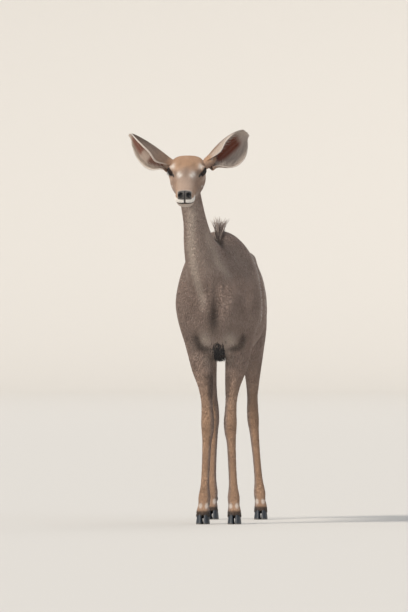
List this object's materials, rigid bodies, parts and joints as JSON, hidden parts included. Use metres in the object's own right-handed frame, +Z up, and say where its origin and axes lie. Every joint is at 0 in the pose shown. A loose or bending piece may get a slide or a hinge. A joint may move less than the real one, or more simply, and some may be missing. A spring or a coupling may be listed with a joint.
{
  "type": "greater kudu cow, still model",
  "caption": "Life-size still model of a hornless greater kudu cow, standing square and looking straight ahead with both ears spread",
  "frame": {"origin": "on the floor under the middle of the animal's outline", "axes": "+Z up; the animal faces -Y and its left side is at +X"},
  "size_m": [0.556, 1.6148, 1.67],
  "materials": {
    "coat": "short grey-brown coat with thin white stripes and a dark mane",
    "face": "very short tan coat with white marks at the eyes, lips and chin",
    "ear": "short brown coat outside, pale hair inside",
    "leg": "very short tan coat, dark above the hooves",
    "tail": "long brown hair with white edges and a black tip",
    "horn": "dark slate horn with a low sheen",
    "eye": "wet, nearly black"
  },
  "bodies": {
    "root": {"ear_left": "ear", "ear_right": "ear", "eye_left": "eye", "eye_right": "eye", "fore_dewclaw_left_inner": "horn", "fore_dewclaw_left_outer": "horn", "fore_dewclaw_right_inner": "horn", "fore_dewclaw_right_outer": "horn", "fore_hoof_left_inner": "horn", "fore_hoof_left_outer": "horn", "fore_hoof_right_inner": "horn", "fore_hoof_right_outer": "horn", "fore_leg_lower_left": "leg", "fore_leg_lower_right": "leg", "fore_leg_upper_left": "leg", "fore_leg_upper_right": "leg", "head": "face", "hind_dewclaw_left_inner": "horn", "hind_dewclaw_left_outer": "horn", "hind_dewclaw_right_inner": "horn", "hind_dewclaw_right_outer": "horn", "hind_hoof_left_inner": "horn", "hind_hoof_left_outer": "horn", "hind_hoof_right_inner": "horn", "hind_hoof_right_outer": "horn", "hind_leg_lower_left": "leg", "hind_leg_lower_right": "leg", "hind_leg_upper_left": "leg", "hind_leg_upper_right": "leg", "neck": "coat", "tail": "tail", "torso": "coat"}
  },
  "joints": []
}
